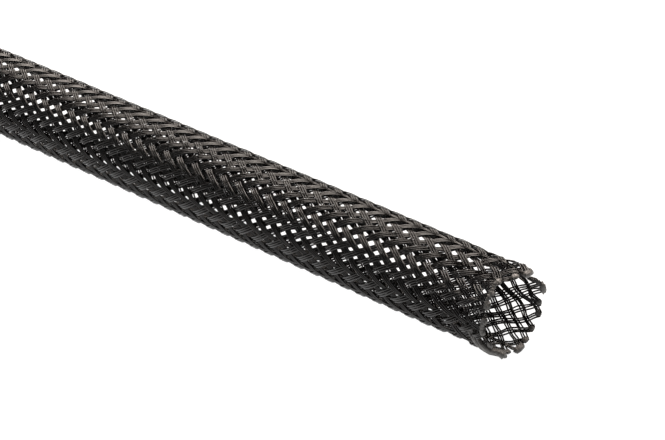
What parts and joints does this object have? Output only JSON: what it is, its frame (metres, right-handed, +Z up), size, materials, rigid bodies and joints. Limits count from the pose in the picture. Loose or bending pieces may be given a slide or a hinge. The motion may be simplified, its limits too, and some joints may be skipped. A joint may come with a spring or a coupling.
{
  "type": "expandable braided cable sleeve",
  "caption": "Hot-cut length of open round braided sleeving that bundles and protects cables, woven from fine plastic monofilament, lying on its side.",
  "frame": {"origin": "bottom centre of the bounding box: on the floor under the middle of the sleeve", "axes": "+X along the sleeve towards the cut end that the picture shows, +Z up"},
  "size_m": [0.3048, 0.014, 0.014],
  "materials": {
    "polyester_monofilament": "black extruded polyester monofilament, smooth and glossy, in an open two-over, two-under braid; hot-cut tips melted to dull beads"
  },
  "bodies": {
    "root": {"braided_sleeve": "polyester_monofilament"}
  },
  "joints": []
}
